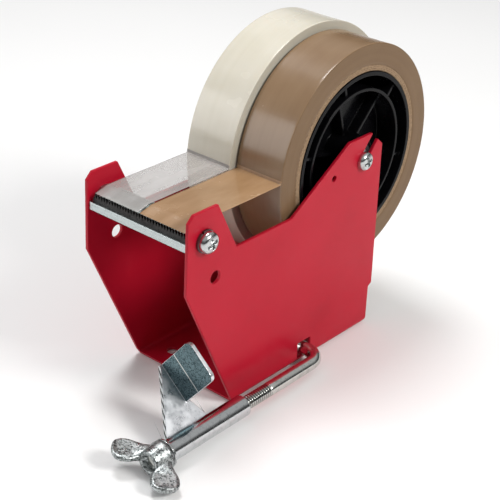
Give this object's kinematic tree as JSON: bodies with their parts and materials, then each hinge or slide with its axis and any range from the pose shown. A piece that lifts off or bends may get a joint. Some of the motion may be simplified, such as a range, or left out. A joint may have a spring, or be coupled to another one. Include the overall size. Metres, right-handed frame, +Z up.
{
  "type": "bench tape dispenser with hook-bolt clamp",
  "caption": "Folded-steel bench dispenser for two narrow packing tapes side by side, with a toothed cutting blade, a spinning reel hub and a swing-down hook-bolt clamp.",
  "frame": {"origin": "centre of the base's underside", "axes": "+X across the tapes towards the side with the clamp, -Y towards the cutting end, +Z up"},
  "size_m": [0.087, 0.1997, 0.1385],
  "materials": {
    "frame": "gloss red enamel on folded sheet steel",
    "guide_bar": "turned, satin",
    "blade": "black oxide",
    "blade_holder": "bright zinc",
    "hardware": "zinc plated",
    "lock_washers": "dark spring steel",
    "axle": "zinc plated tube",
    "axle_washers": "black nylon",
    "hub": "moulded, glossy black",
    "core": "wound card",
    "tape_clear": "clear film wound into a cream roll",
    "tape_brown": "brown film wound into a roll",
    "hook_bolt": "bright zinc",
    "clamp_jaw": "blue zinc",
    "thrust_washer": "zinc plated",
    "wing_nut": "zinc plated casting, rough"
  },
  "bodies": {
    "stand": {"frame": "frame", "guide_bar": "guide_bar", "guide_screw_left": "hardware", "guide_screw_right": "hardware", "lock_washer_left": "lock_washers", "lock_washer_right": "lock_washers", "blade": "blade", "blade_holder": "blade_holder", "blade_rivets": "hardware", "axle": "axle", "axle_screw_left": "hardware", "axle_screw_right": "hardware", "axle_washer_left": "axle_washers", "axle_washer_right": "axle_washers", "tape_end_clear": "tape_clear", "tape_end_brown": "tape_brown"},
    "reel": {"hub_left": "hub", "hub_right": "hub", "core_clear": "core", "core_brown": "core", "tape_roll_clear": "tape_clear", "tape_roll_brown": "tape_brown"},
    "hook": {"hook_bolt": "hook_bolt"},
    "washer": {"thrust_washer": "thrust_washer"},
    "jaw": {"clamp_jaw": "clamp_jaw"},
    "nut": {"wing_nut": "wing_nut"}
  },
  "joints": [
    {"name": "reel_spin", "type": "hinge", "parent": "stand", "child": "reel", "pos_m": [0, 0.0335, 0.085], "axis": [1, 0, 0], "continuous": true},
    {"name": "hook_swing", "type": "hinge", "parent": "stand", "child": "hook", "pos_m": [0.038, 0.0004, 0.0062], "axis": [1, 0, 0], "range_deg": [0, 90]},
    {"name": "nut_travel", "type": "slide", "parent": "hook", "child": "washer", "axis": [0, 1, 0], "range_m": [0, 0.003]},
    {"name": "jaw_swivel", "type": "hinge", "parent": "washer", "child": "jaw", "pos_m": [0.038, -0.073, 0.0062], "axis": [0, 1, 0], "range_deg": [0, 150]},
    {"name": "wing_nut_turn", "type": "hinge", "parent": "washer", "child": "nut", "pos_m": [0.038, -0.1, 0.0062], "axis": [0, 1, 0], "range_deg": [0, 864]}
  ],
  "couplings": [
    {"joint": "wing_nut_turn", "follows": "nut_travel", "rad_per_m": 5026.5}
  ]
}
